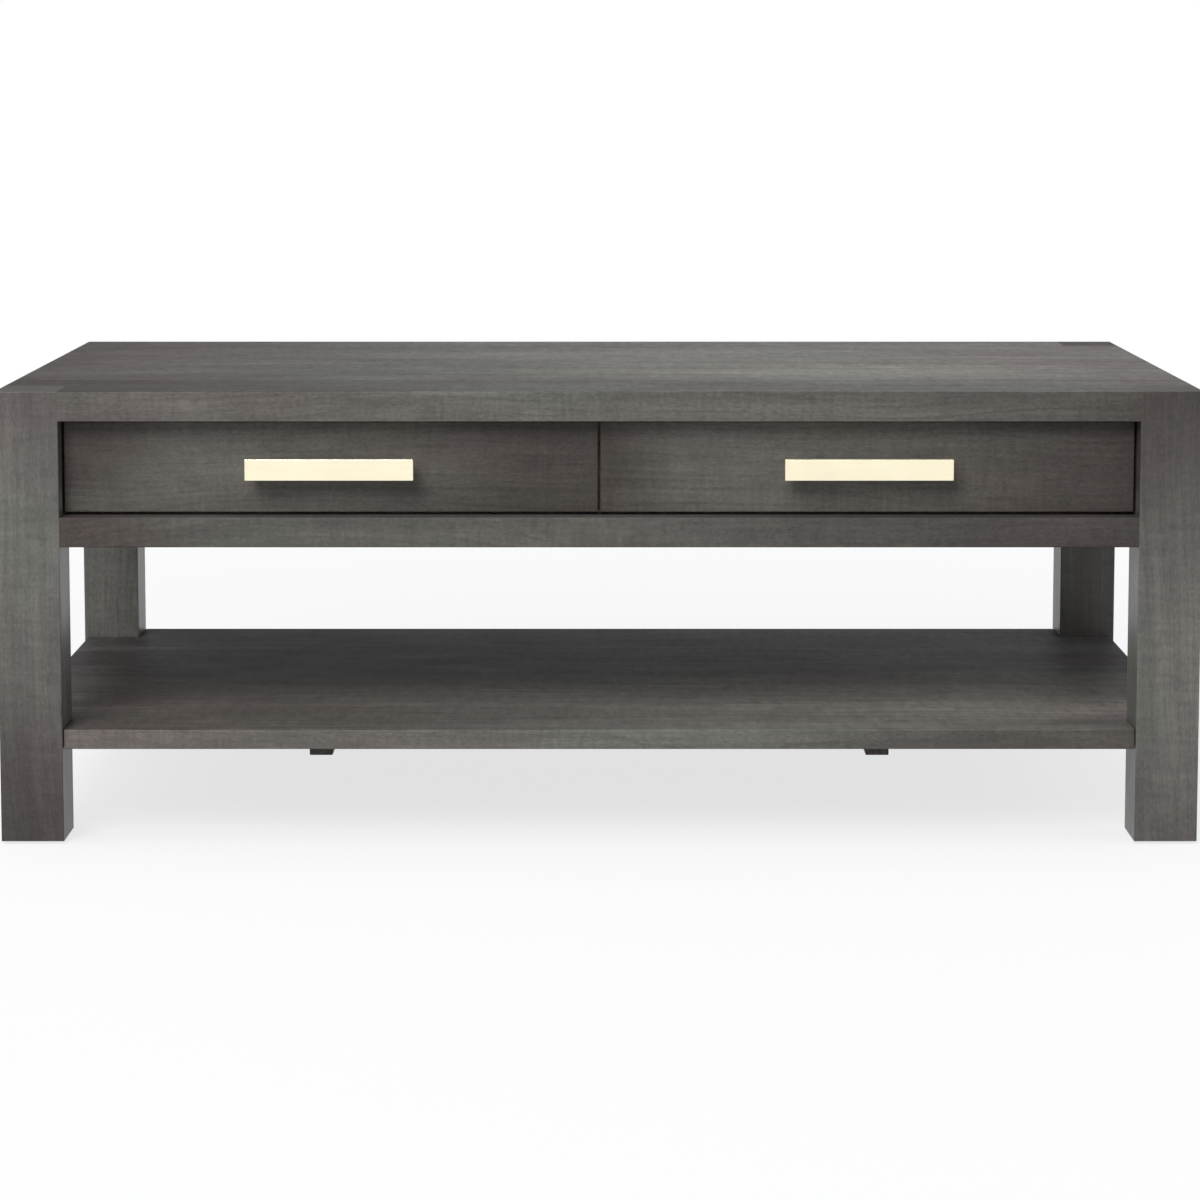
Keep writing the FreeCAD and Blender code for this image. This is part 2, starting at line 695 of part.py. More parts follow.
def ball_cage(face, outwards, web_u, half):
    """Cage around the rail of the given half height, and the balls in its two rows."""
    ball_v = half + BALL_SPACE / 2
    strip_bottom = ball_v - CAGE_STRIP / 2
    strip_top = ball_v + CAGE_STRIP / 2
    sections = [
        (web_u, web_u + CAGE_SHEET, 0, strip_top),
        (web_u, LIP_U - RUN_GAP, strip_bottom, strip_top),
    ]
    cage = slide_bars(face, outwards, CAGE_FRONT_Y, CAGE_BACK_Y, sections)
    pitch = (CAGE_BACK_Y - CAGE_FRONT_Y) / BALLS_PER_ROW
    middle = (CAGE_BACK_Y + CAGE_FRONT_Y) / 2
    ball_x = face + outwards * BALL_U
    pocket_radius = BALL_DIAMETER / 2 + BALL_POCKET_CLEARANCE
    balls = []
    pockets = []
    for shift in evenly(BALLS_PER_ROW, pitch):
        for side in (-1, 1):
            centre = Vector(ball_x, middle + shift, SLIDE_Z + side * ball_v)
            balls.append(Part.makeSphere(BALL_DIAMETER / 2, centre))
            pockets.append(Part.makeCylinder(pocket_radius, 2 * CAGE_STRIP, centre - UP * CAGE_STRIP, UP))
    return [cage.cut(pockets)] + balls


def slide_screw_head():
    """Head that ends flush with both faces of the slide's sheet."""
    return SLIDE_SCREW_DIAMETER + 2 * SLIDE_SHEET


def slide_screw_shapes(make, places, direction):
    """Screws of a slide, or their holes."""
    length = SLIDE_SHEET + SLIDE_SCREW_BITE
    return make(places, direction, length, SLIDE_SCREW_DIAMETER, slide_screw_head())


def slide_screw_places(x, inset):
    """Three places along a slide, the end ones at one inset."""
    middle = (CASE_FRONT_Y + SLIDE_BACK_Y) / 2
    rows = [CASE_FRONT_Y + inset, middle, SLIDE_BACK_Y - inset]
    return [Vector(x, y, SLIDE_Z) for y in rows]


def case_screw_holes():
    """Holes for the case rail on the right-hand leg and packer."""
    places = slide_screw_places(LEG_INNER_X - SLIDE_SHEET, CASE_SCREW_INSET)
    return slide_screw_shapes(flush_holes, places, RIGHT)


def divider_screw_holes():
    """Holes for the case rail on the right-hand face of the divider."""
    places = slide_screw_places(PANEL_THICKNESS / 2 + SLIDE_SHEET, CASE_SCREW_INSET)
    return slide_screw_shapes(flush_holes, places, LEFT)


def slide_case_screws():
    """Screws of the two case rails of the right-hand drawer."""
    outer = slide_screw_places(LEG_INNER_X - SLIDE_SHEET, CASE_SCREW_INSET)
    inner = slide_screw_places(PANEL_THICKNESS / 2 + SLIDE_SHEET, CASE_SCREW_INSET)
    screws = slide_screw_shapes(flush_screws, outer, RIGHT)
    return screws + slide_screw_shapes(flush_screws, inner, LEFT)


def drawer_screw_shapes(make):
    """Screws of the two drawer rails of the right-hand drawer, or their holes."""
    outer = slide_screw_places(BOX_X1 + SLIDE_SHEET, DRAWER_SCREW_INSET)
    inner = slide_screw_places(BOX_X0 - SLIDE_SHEET, DRAWER_SCREW_INSET)
    return slide_screw_shapes(make, outer, LEFT) + slide_screw_shapes(make, inner, RIGHT)


# Drawer


def tails(x0, x1, end, inwards):
    """Dovetails at one end of a drawer side, wider at the end of the board."""
    height = BOX_Z1 - BOX_Z0
    count = max(1, int(height // TAIL_PITCH))
    root = end + inwards * BOX_BOARD
    wide = TAIL_WIDTH / 2
    narrow = wide - BOX_BOARD * TAIL_SLOPE
    prisms = []
    for shift in evenly(count, height / count):
        z = (BOX_Z0 + BOX_Z1) / 2 + shift
        corners = [
            Vector(x0, end, z - wide),
            Vector(x0, end, z + wide),
            Vector(x0, root, z + narrow),
            Vector(x0, root, z - narrow),
        ]
        face = Part.Face(Part.makePolygon(corners + corners[:1]))
        prisms.append(face.extrude(Vector(x1 - x0, 0, 0)))
    return prisms


def box_sides():
    """Near and far planes of the two drawer sides: the one by the leg first."""
    return [(BOX_X1 - BOX_BOARD, BOX_X1), (BOX_X0, BOX_X0 + BOX_BOARD)]


def bottom_board(reach):
    """Bottom board that enters the grooves by the given reach."""
    return block(
        BOX_X0 + BOX_BOARD - reach,
        BOX_X1 - BOX_BOARD + reach,
        BOX_Y0 + BOX_BOARD - reach,
        BOX_Y1 - BOX_BOARD + reach,
        BOX_Z0 + BOTTOM_LIFT,
        BOX_Z0 + BOTTOM_LIFT + BOTTOM_THICKNESS,
    )


def drawer_sides():
    """The two drawer sides with their dovetails, grooves and screw holes."""
    cuts = [bottom_board(GROOVE_DEPTH)] + drawer_screw_shapes(flush_holes)
    sides = []
    for x0, x1 in box_sides():
        board = block(x0, x1, BOX_Y0 + BOX_BOARD, BOX_Y1 - BOX_BOARD, BOX_Z0, BOX_Z1)
        ends = tails(x0, x1, BOX_Y0, 1) + tails(x0, x1, BOX_Y1, -1)
        sides.append(joined(board, *ends).cut(cuts))
    return sides


def cross_board(y0, y1, end, inwards):
    """Board across the box between two planes, with sockets for the dovetails of both sides."""
    board = block(BOX_X0, BOX_X1, y0, y1, BOX_Z0, BOX_Z1)
    sockets = [bottom_board(GROOVE_DEPTH)]
    for x0, x1 in box_sides():
        sockets += tails(x0, x1, end, inwards)
    return board.cut(sockets)


def front_screw_places():
    """Head faces of the screws that hold the drawer front, on the inside of the box."""
    bottom_top = BOX_Z0 + BOTTOM_LIFT + BOTTOM_THICKNESS
    return [
        Vector(x, BOX_Y0 + BOX_BOARD, z)
        for x in (BOX_X0 + FRONT_SCREW_INSET, BOX_X1 - FRONT_SCREW_INSET)
        for z in (bottom_top + FRONT_SCREW_ROW_INSET, BOX_Z1 - FRONT_SCREW_ROW_INSET)
    ]


def front_screw_length():
    """Length that passes the sub-front and bites into the drawer front."""
    return BOX_BOARD + FRONT_SCREW_BITE


def handle_screw_places():
    """Where the handle screws pass the inside face of the box."""
    y = BOX_Y0 + BOX_BOARD
    return [Vector(HANDLE_X + shift, y, HANDLE_Z) for shift in evenly(2, HANDLE_HOLE_SPACING)]


def handle_screw_reach():
    """From the inside of the box to the end of the screw in the handle's post."""
    return BOX_BOARD + PANEL_THICKNESS + HANDLE_SCREW_BITE


def handle_holes():
    """Bores for the handle screws."""
    radius = HANDLE_SCREW_DIAMETER / 2 + HOLE_CLEARANCE
    length = handle_screw_reach() + HOLE_CLEARANCE
    return [Part.makeCylinder(radius, length, place, FORWARD) for place in handle_screw_places()]


def handle_screws():
    """Pan-head screws driven from inside the drawer."""
    shank = Part.makeCylinder(HANDLE_SCREW_DIAMETER / 2, handle_screw_reach())
    head_start = UP * -HANDLE_SCREW_HEAD_HEIGHT
    head = Part.makeCylinder(HANDLE_SCREW_HEAD / 2, HANDLE_SCREW_HEAD_HEIGHT, head_start)
    head = head.makeFillet(HANDLE_SCREW_HEAD_HEIGHT / 2, edges_on(head, "Z", -HANDLE_SCREW_HEAD_HEIGHT))
    depth = HANDLE_SCREW_HEAD_HEIGHT * RECESS_DEPTH_SHARE
    recess = [cut.translated(head_start) for cut in cross_recess(HANDLE_SCREW_HEAD, depth)]
    screw = joined(head, shank).cut(recess)
    return [placed(screw, place, FORWARD) for place in handle_screw_places()]


def handle():
    """Flat bar pull on two posts."""
    half = HANDLE_HOLE_SPACING / 2 + HANDLE_OVERHANG
    face = FRONT_FACE_Y - HANDLE_PROJECTION
    z0 = HANDLE_Z - HANDLE_HEIGHT / 2
    bar_back = face + HANDLE_THICKNESS
    bar = block(HANDLE_X - half, HANDLE_X + half, face, bar_back, z0, z0 + HANDLE_HEIGHT)
    bar = bar.makeFillet(HANDLE_EASE, bar.Edges)
    posts = []
    for shift in evenly(2, HANDLE_HOLE_SPACING):
        x0 = HANDLE_X + shift - HANDLE_POST_WIDTH / 2
        post_z0 = HANDLE_Z - HANDLE_POST_HEIGHT / 2
        post_z1 = HANDLE_Z + HANDLE_POST_HEIGHT / 2
        posts.append(block(x0, x0 + HANDLE_POST_WIDTH, bar_back, FRONT_FACE_Y, post_z0, post_z1))
    return joined(bar, *posts).cut(handle_holes())


def drawer_front():
    """Front board with rounded front edges."""
    board = block(FRONT_X0, FRONT_X1, FRONT_FACE_Y, FRONT_BACK_Y, FRONT_Z0, FRONT_Z1)
    board = board.makeFillet(EDGE_EASE, edges_on(board, "Y", FRONT_FACE_Y))
    holes = flush_holes(front_screw_places(), FORWARD, front_screw_length())
    return board.cut(holes + handle_holes())


def drawer_subfront():
    """Front board of the box, behind the drawer front."""
    board = cross_board(BOX_Y0, BOX_Y0 + BOX_BOARD, BOX_Y0, 1)
    holes = flush_holes(front_screw_places(), FORWARD, front_screw_length())
    return board.cut(holes + handle_holes())


def drawer_nodes():
    """The right-hand drawer and its slides: node name without its side, and its solids."""
    outer_face = (LEG_INNER_X, -1)
    inner_face = (PANEL_THICKNESS / 2, 1)
    outer_side, inner_side = drawer_sides()
    case_holes = case_screw_holes() + divider_screw_holes()
    drawer_holes = drawer_screw_shapes(flush_holes)
    nodes = {
        "drawer_front": [drawer_front()],
        "drawer_subfront": [drawer_subfront()],
        "drawer_side_outer": [outer_side],
        "drawer_side_inner": [inner_side],
        "drawer_back": [cross_board(BOX_Y1 - BOX_BOARD, BOX_Y1, BOX_Y1, -1)],
        "drawer_bottom": [bottom_board(GROOVE_DEPTH - GROOVE_END_GAP)],
        "handle": [handle()],
        "handle_screws": handle_screws(),
        "front_screws": flush_screws(front_screw_places(), FORWARD, front_screw_length()),
        "slide_drawer_screws": drawer_screw_shapes(flush_screws),
        "outer_ball_cages": [],
        "inner_ball_cages": [],
    }
    for place, face in (("outer", outer_face), ("inner", inner_face)):
        nodes["slide_case_rail_" + place] = [case_rail(*face).cut(case_holes)]
        nodes["slide_middle_rail_" + place] = [middle_rail(*face)]
        nodes["slide_drawer_rail_" + place] = [drawer_rail(*face).cut(drawer_holes)]
        nodes["outer_ball_cages"] += ball_cage(*face, OUTER_CAGE_U, MIDDLE_HALF)
        nodes["inner_ball_cages"] += ball_cage(*face, INNER_CAGE_U, DRAWER_HALF)
    return nodes


# Whole table


def frame_nodes():
    """Everything that stands still: node name and its solids."""
    outline = table_outline()
    nodes = {
        "top_panel": [top_panel(outline)],
        "back_apron": [back_apron()],
        "front_rail": [front_rail()],
        "upper_stretcher": [upper_stretcher()],
        "centre_divider": [centre_divider()],
        "lower_shelf": [lower_shelf()],
        "leg_glides": both_sides([glide(-1), glide(1)]),
        "shelf_dowels": both_sides(dowels(-1) + dowels(1)),
        "top_clips": top_clips(),
        "top_clip_screws": flush_screws(clip_screw_places(), UP, CLIP_SHEET + CLIP_SCREW_BITE),
        "slide_case_screws": both_sides(slide_case_screws()),
        "packer_screws": both_sides(flush_screws(packer_screw_places(), RIGHT, packer_screw_length())),
        "batten_screws": both_sides(
            flush_screws(batten_screw_places(), UP, BATTEN_HEIGHT + BATTEN_SCREW_BITE)
        ),
    }
    right_hand = {
        "leg_front": leg(-1, outline),
        "leg_back": leg(1, outline),
        "side_apron": side_apron(),
        "slide_packer": slide_packer(),
        "shelf_batten": shelf_batten(),
    }
    for name, shape in right_hand.items():
        nodes[name + "_right"] = [shape]
        nodes[name + "_left"] = [mirrored(shape)]
    return nodes


def main():
    """Build every node and write one file for each."""
    nodes = frame_nodes()
    for name, shapes in drawer_nodes().items():
        nodes["right_" + name] = shapes
        nodes["left_" + name] = [mirrored(shape) for shape in shapes]
    os.makedirs("parts", exist_ok=True)
    for name, shapes in nodes.items():
        solids = [solid for shape in shapes for solid in shape.Solids]
        shape = solids[0] if len(solids) == 1 else Part.makeCompound(solids)
        shape.exportStep("parts/" + name + ".step")


main()
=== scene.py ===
"""Looks of a coffee table with two drawers and a lower shelf.

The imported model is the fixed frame. This script gives every part of it a procedural finish, and adds the
floor, the lights and the camera.
"""

import math

import bpy
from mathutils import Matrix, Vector


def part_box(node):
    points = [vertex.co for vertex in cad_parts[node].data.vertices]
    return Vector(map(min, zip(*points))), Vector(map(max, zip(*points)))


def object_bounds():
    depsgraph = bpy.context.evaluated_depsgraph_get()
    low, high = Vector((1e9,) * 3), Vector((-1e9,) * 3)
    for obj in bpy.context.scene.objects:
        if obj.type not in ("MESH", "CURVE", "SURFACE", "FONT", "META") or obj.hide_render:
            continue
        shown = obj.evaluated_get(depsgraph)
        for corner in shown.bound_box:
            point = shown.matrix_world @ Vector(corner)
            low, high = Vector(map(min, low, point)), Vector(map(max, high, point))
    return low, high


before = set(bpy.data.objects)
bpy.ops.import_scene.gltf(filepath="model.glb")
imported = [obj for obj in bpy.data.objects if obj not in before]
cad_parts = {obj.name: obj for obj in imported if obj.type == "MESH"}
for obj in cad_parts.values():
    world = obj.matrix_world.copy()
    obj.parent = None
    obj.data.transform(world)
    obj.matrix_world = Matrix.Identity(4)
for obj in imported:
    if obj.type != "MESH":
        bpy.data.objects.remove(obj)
CAD_LOW, CAD_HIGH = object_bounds()
SIDES = ("left", "right")
WHITE = (1.0, 1.0, 1.0)

# Places taken from the frame, in metres
TABLE_CENTRE = (CAD_LOW + CAD_HIGH) / 2
FLOOR_LEVEL = CAD_LOW.z

# The bay behind the drawer fronts, where the wood is stained but not varnished
BAY_MARGIN = 0.001
BAY_SIDE = abs(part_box("leg_front_left")[1].x) + BAY_MARGIN
BAY_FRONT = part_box("left_drawer_front")[0].y
BAY_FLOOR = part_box("front_rail")[1].z
BAY_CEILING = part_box("top_panel")[0].z + BAY_MARGIN

# Camera: metres from the table's centre, lens and sensor in millimetres, shift in widths of the picture
CAMERA_OFFSET = Vector((0.0009, -3.830025, 0.5727))
CAMERA_PITCH = math.radians(5.887)
CAMERA_LENS = 100.74
CAMERA_SENSOR = 36.0
CAMERA_SHIFT = -0.15

# Soft boxes: side and height as angles seen from the table's centre, distance and size in metres
KEY_SIDE = math.radians(-20)
KEY_HEIGHT = math.radians(38)
KEY_DISTANCE = 12.0
KEY_SIZE = (5.7, 6.3)
KEY_LEVEL = 0.78
OVERHEAD_SIDE = 0.0
OVERHEAD_HEIGHT = math.radians(86)
OVERHEAD_DISTANCE = 3.6
OVERHEAD_SIZE = (3.2, 2.4)
OVERHEAD_LEVEL = 0.26
OVERHEAD_TINT = (0.985, 1.0, 1.05)
FILL_SIDE = math.radians(85)
FILL_HEIGHT = math.radians(28)
FILL_DISTANCE = 4.5
FILL_SIZE = (2.5, 2.0)
FILL_LEVEL = 0.20

# Backdrop: white up to one height over the horizon and dimmer from the other, both as sines
SKY_LIGHT = (0.285, 0.30, 0.33)
WHITE_UP_TO = math.sin(math.radians(4))
SKY_FROM = math.sin(math.radians(22))

# Floor: its spread and the reach of the shadow in metres, its greys, and its share of glow by the table
FLOOR_SPREAD = 60.0
FLOOR_SHOWN = (0.78, 0.78, 0.78)
FLOOR_BOUNCE = (0.5, 0.5, 0.5)
FLOOR_ROUGHNESS = 0.9
FLOOR_GLOW = 0.74
SHADOW_REACH = (1.0, 3.0)


# Shader nodes

# Most values of a noise lie in this range
NOISE_RANGE = (0.25, 0.75)


def opaque(colour):
    """A colour with its alpha."""
    return (*colour, 1.0)


class Recipe:
    """One material and short ways to add nodes to it."""

    def __init__(self, name):
        self.material = bpy.data.materials.new(name)
        self.material.use_nodes = True
        self.tree = self.material.node_tree
        self.shader = self.tree.nodes["Principled BSDF"]

    def add(self, kind, inputs=None, **settings):
        made = self.tree.nodes.new("ShaderNode" + kind)
        for name, value in settings.items():
            setattr(made, name, value)
        for key, value in (inputs or {}).items():
            self.feed(made.inputs[key], value)
        return made

    def feed(self, socket, value):
        if isinstance(value, bpy.types.NodeSocket):
            self.tree.links.new(value, socket)
        else:
            socket.default_value = value

    def math(self, operation, first, second=0.0):
        return self.add("Math", {0: first, 1: second}, operation=operation).outputs[0]

    def plus(self, first, second):
        return self.math("ADD", first, second)

    def minus(self, first, second):
        return self.math("SUBTRACT", first, second)

    def times(self, first, second):
        return self.math("MULTIPLY", first, second)

    def centred(self, noise):
        """A noise value moved to lie round 0."""
        return self.minus(noise, 0.5)

    def vector(self, operation, first, second):
        return self.add("VectorMath", {0: first, 1: second}, operation=operation).outputs[0]

    def length(self, place):
        return self.add("VectorMath", {0: place}, operation="LENGTH").outputs["Value"]

    def object_place(self):
        return self.add("TexCoord").outputs["Object"]

    def split(self, place):
        return self.add("SeparateXYZ", {0: place}).outputs

    def red(self, colour):
        return self.add("SeparateColor", {0: colour}).outputs[0]

    def noise(self, place, stretch, detail=2.0, rough=0.5):
        """Soft noise, 0 to 1, with so many features a metre in each direction."""
        scaled = self.vector("MULTIPLY", place, stretch)
        return self.add("TexNoise", {"Vector": scaled, "Scale": 1.0, "Detail": detail, "Roughness": rough})

    def band(self, value, low, high, to_low=0.0, to_high=1.0):
        """The range low to high of a value, moved smoothly to another range."""
        made = self.add("MapRange", {0: value, 1: low, 2: high, 3: to_low, 4: to_high})
        made.interpolation_type = "SMOOTHSTEP"
        return made.outputs[0]

    def swing(self, value, amount):
        """A noise value turned into a factor round 1."""
        low, high = NOISE_RANGE
        return self.add("MapRange", {0: value, 1: low, 2: high, 3: 1 - amount, 4: 1 + amount}).outputs[0]

    def mix(self, factor, first, second, blend="MIX"):
        made = self.add("Mix", data_type="RGBA", blend_type=blend)
        self.feed(made.inputs["Factor"], factor)
        self.feed(made.inputs["A"], first)
        self.feed(made.inputs["B"], second)
        colours = [output for output in made.outputs if output.type == "RGBA"]
        return colours[0]

    def scale(self, colour, factor):
        return self.add("VectorMath", {0: colour, "Scale": factor}, operation="SCALE").outputs[0]

    def ramp(self, factor, stops, interpolation="B_SPLINE"):
        made = self.add("ValToRGB", {0: factor})
        made.color_ramp.interpolation = interpolation
        points = made.color_ramp.elements
        while len(points) < len(stops):
            points.new(1.0)
        for point, (place, colour) in zip(points, stops):
            point.position = place
            point.color = opaque(colour)
        return made.outputs[0]

    def bump(self, height, strength, distance):
        made = self.add("Bump", {"Height": height, "Strength": strength, "Distance": distance})
        self.feed(self.shader.inputs["Normal"], made.outputs[0])

    def set(self, **values):
        for name, value in values.items():
            self.feed(self.shader.inputs[name.replace("_", " ")], value)


def paint(node, recipe):
    """Puts a material on a part of the frame."""
    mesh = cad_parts[node].data
    mesh.materials.clear()
    mesh.materials.append(recipe.material)


# Boards

# For each way that the grain can run, the axes along, across and through the board
GRAIN_ORDER = {"x": (0, 1, 2), "y": (1, 0, 2), "z": (2, 0, 1)}
ALONG = 0
ACROSS = 1

# How far a step of the seed moves the figure in metres, and how square to a direction a face has to be
SEED_STEPS = (1.37, 0.731, 0.917)
SQUARE_FACE = (0.6, 0.9)


def grain(along, across, detail=2.0, rough=0.5):
    """A noise with so many features a metre along the grain and across it."""
    return {"stretch": (along, across, across), "detail": detail, "rough": rough}


class Board(Recipe):
    """The material of a board, whose figure runs along one axis and differs from the other boards'."""

    def __init__(self, name, axis, seed):
        super().__init__(name)
        self.seed = seed
        self.order = GRAIN_ORDER[axis]
        self.parts = self.split(self.object_place())
        turned_parts = {slot: self.parts[self.order[slot]] for slot in range(3)}
        self.turned = self.add("CombineXYZ", turned_parts).outputs[0]
        self.own = self.vector("ADD", self.turned, tuple(seed * step for step in SEED_STEPS))

    def figure(self, kind):
        """The value of a kind of grain."""
        return self.noise(self.own, **kind).outputs[0]

    def bend(self, kind, reach):
        """Bends the figure sideways by up to half a reach in metres, and gives back the share."""
        share = self.vector("SUBTRACT", self.noise(self.own, **kind).outputs["Color"], (0.5, 0.5, 0.5))
        self.own = self.vector("ADD", self.own, self.vector("MULTIPLY", share, (0.0, reach, reach)))
        return share

    def facing(self, direction):
        """1 on the faces square to a direction of the board, and 0 on the others."""
        normal = self.split(self.add("TexCoord").outputs["Normal"])
        return self.band(self.math("ABSOLUTE", normal[self.order[direction]]), *SQUARE_FACE)

    def span(self, node, direction):
        """How far a place lies from the board's low end in a direction, and the board's length in it."""
        low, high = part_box(node)
        axis = self.order[direction]
        return self.minus(self.parts[axis], low[axis]), high[axis] - low[axis]


# Grey stained wood

# Stain tones, as linear colours
PALE = (0.151, 0.146, 0.131)
OLIVE = (0.129, 0.127, 0.1135)
DIM = (0.093, 0.0915, 0.082)
ROSE = (0.118, 0.108, 0.100)
DUSK = (0.092, 0.084, 0.077)
SLATE = (0.070, 0.069, 0.062)
PLUM = (0.0715, 0.062, 0.0555)
DEEP = (0.051, 0.044, 0.040)
END_TONE = (0.082, 0.073, 0.067)

# The varnish: how much it reflects and how rough it is, and what makes it duller
WOOD_IOR = 1.5
BOARD_GLOSS = (0.14, 0.58)
LEG_GLOSS = (0.36, 0.40)
TOP_GLOSS = (0.06, 0.55)
SPECK_DULLNESS = 0.22
PATCH_DULLNESS = 0.10
END_DULLNESS = 0.25

# Slow changes of the stain, and how far each one swings the colour
CLOUD = grain(3.0, 11.0, detail=3.0, rough=0.55)
CLOUD_SWING = 0.20
PATCH = grain(9.0, 30.0, detail=4.0, rough=0.6)
PATCH_SWING = 0.15
STREAK = grain(2.5, 60.0, detail=4.0, rough=0.6)
STREAK_SWING = 0.13
WANDER = grain(2.5, 7.0)
WANDER_ALONG = 0.35
WANDER_ACROSS = 0.25
HUE = grain(4.0, 13.0)
HUE_PLACE = (5.1, 3.3, 7.7)
HUE_BAND = (0.36, 0.64)
ROSIER = (1.045, 0.985, 0.99)
GREENER = (0.992, 1.0, 0.982)

# Fine marks of the wood
FIBRE = grain(9.0, 460.0, detail=3.0, rough=0.65)
FIBRE_SWING = 0.06
SPECK = grain(190.0, 420.0, rough=0.65)
SPECK_SWING = 0.19
FLECK = grain(90.0, 30.0, detail=3.0, rough=0.7)
THREAD = grain(5.0, 170.0, detail=3.0, rough=0.6)
THREAD_SHARE = 0.9
FLECK_GAIN = 4.0
EDGE_FLECKS = 0.10
LEG_FLECKS = 0.16
TOP_FLECKS = 0.24
SHELF_FLECKS = 0.26
TICK = grain(230.0, 26.0)
TICK_PATCH = grain(5.0, 12.0)
TICK_BAND = (0.38, 0.62)
TICK_SWING = 0.36
DASH = grain(45.0, 560.0)
DARK_DASHES = (0.60, 0.70)
DARK_DASH_DEPTH = 0.10
PALE_DASHES = (0.40, 0.30)
PALE_DASH_LIGHT = 0.07

# Growth rings round a pith outside the board, in metres. A phase is in radians a metre, and of wobble
BEND = grain(2.2, 4.0, detail=1.0)
BEND_REACH = 0.035
PITH = (0.11, 0.07)
PITH_SPREAD = 0.05
PITH_LUCK = (2.1, 1.7)
RING_BEND = 0.09
RING_TAPER = 0.02
RING_PHASE = (900.0, 9.0)
RING_HEIGHT = 0.25
RING_SWING = 0.03
END_RING_SWING = 0.26
LINE_PHASE = (420.0, 16.0)
LINE_BAND = (0.80, 1.0)
LINE_PATCHES = (0.40, 0.60)
LINE_DEPTH = 0.12

# Knots and pin knots: cells a metre, the luck that a cell needs to have one, and its size in cells
KNOTS = {"stretch": (2.6, 9.0, 9.0), "chosen": (0.80, 0.84), "size": (0.02, 0.10)}
PINS = {"stretch": (9.0, 26.0, 26.0), "chosen": (0.91, 0.93), "size": (0.03, 0.13)}
KNOT_DEPTH = 0.34

# Glued strips of the wide boards: the width of a joint in metres, and how far the figure jumps at it
JOINT_WIDTH = 0.0006
JOINT_DEPTH = 0.35
STAVE_LUCK = 3.3
STAVE_JUMP = (9.0, 4.0, 4.0)

# Relief of the surface: the share of each mark in it, and its depth in metres
FIBRE_RELIEF = 0.6
SPECK_RELIEF = 0.4
TICK_RELIEF = 0.3
JOINT_RELIEF = 0.8
RELIEF_STRENGTH = 0.25
RELIEF_DEPTH = 0.0004


def shade(tones, factor):
    """The same tones, lighter or darker."""
    return [(place, tuple(factor * part for part in colour)) for place, colour in tones]


def flip(tones):
    """The same tones, from the other end of the board."""
    return [(1.0 - place, colour) for place, colour in reversed(tones)]


def glued_staves(board, node, staves):
    """Gives each strip its own figure. Returns its light, the move of its tones, and 1 in the joints."""
    if not staves:
        return 1.0, 0.0, 0.0
    count = len(staves)
    from_side, width = board.span(node, ACROSS)
    place = board.times(from_side, count / width)
    number = board.plus(board.math("FLOOR", place), board.seed * STAVE_LUCK)
    luck = board.add("TexWhiteNoise", {"W": number}, noise_dimensions="1D").outputs["Color"]
    board.own = board.vector("ADD", board.own, board.vector("MULTIPLY", luck, STAVE_JUMP))
    # In the ramp the light is halved and the move is raised by half, so that both lie between 0 and 1
    steps = [(strip / count, (light / 2, move + 0.5, 0.0)) for strip, (light, move) in enumerate(staves)]
    held = board.ramp(board.times(place, 1 / count), steps, "CONSTANT")
    half_light, raised_move = board.add("SeparateColor", {0: held}).outputs[:2]
    joint = board.band(board.math("PINGPONG", place, 0.5), 0.0, JOINT_WIDTH * count / width, 1.0, 0.0)
    return board.times(half_light, 2.0), board.minus(raised_move, 0.5), joint


def ring_wave(board, radius, cloud, phase):
    """A wave over the rings, -1 to 1, that wobbles with the clouds."""
    turns, wobble = phase
    return board.math("SINE", board.plus(board.times(radius, turns), board.times(cloud, wobble)))


def growth_rings(board, bend, cloud, patch):
    """Soft rings, and thin dark lines along some of them."""
    pith_side = PITH[0] + PITH_SPREAD * math.sin(board.seed * PITH_LUCK[0])
    pith_depth = PITH[1] + PITH_SPREAD * math.cos(board.seed * PITH_LUCK[1])
    bent = board.vector("ADD", board.vector("MULTIPLY", bend, (0.0, RING_BEND, RING_BEND)), board.turned)
    tapered = board.vector("MULTIPLY", bent, (RING_TAPER, 1.0, 1.0))
    radius = board.length(board.vector("ADD", tapered, (0.0, pith_side, pith_depth)))
    ring = board.plus(board.times(ring_wave(board, radius, cloud, RING_PHASE), RING_HEIGHT), 0.5)
    line = board.band(ring_wave(board, radius, cloud, LINE_PHASE), *LINE_BAND)
    return ring, board.times(line, board.band(patch, *LINE_PATCHES))


def spots(board, stretch, chosen, size):
    """1 in the middle of a few soft spots."""
    place = board.vector("MULTIPLY", board.own, stretch)
    cells = board.add("TexVoronoi", {"Vector": place, "Scale": 1.0}).outputs
    shape = board.band(cells["Distance"], *size, 1.0, 0.0)
    return board.times(shape, board.band(board.red(cells["Color"]), *chosen))


def board_tone(board, node, tones, painted_light_across, edge_tones, stave_move):
    """The colour of a board: its stain along it, painted light and shade across it, its tones on its long
    edges and on its ends.
    """
    from_end, length = board.span(node, ALONG)
    wander = board.times(board.centred(board.figure(WANDER)), WANDER_ALONG)
    along = board.plus(board.times(from_end, 1 / length), wander)
    tone = board.ramp(board.minus(along, stave_move), tones)
    # Painted light and shade across the board, as factors from its low side to its high side
    if painted_light_across:
        from_side, width = board.span(node, ACROSS)
        across = board.plus(board.times(from_side, 1 / width), board.times(wander, WANDER_ACROSS))
        # In the ramp the factors are halved, so that they lie between 0 and 1
        factor = board.scale(board.ramp(across, shade(painted_light_across, 0.5)), 2.0)
        tone = board.mix(1.0, tone, factor, blend="MULTIPLY")
    if edge_tones:
        tone = board.mix(board.facing(ACROSS), tone, board.ramp(along, edge_tones))
    return board.mix(board.facing(ALONG), tone, opaque(END_TONE))


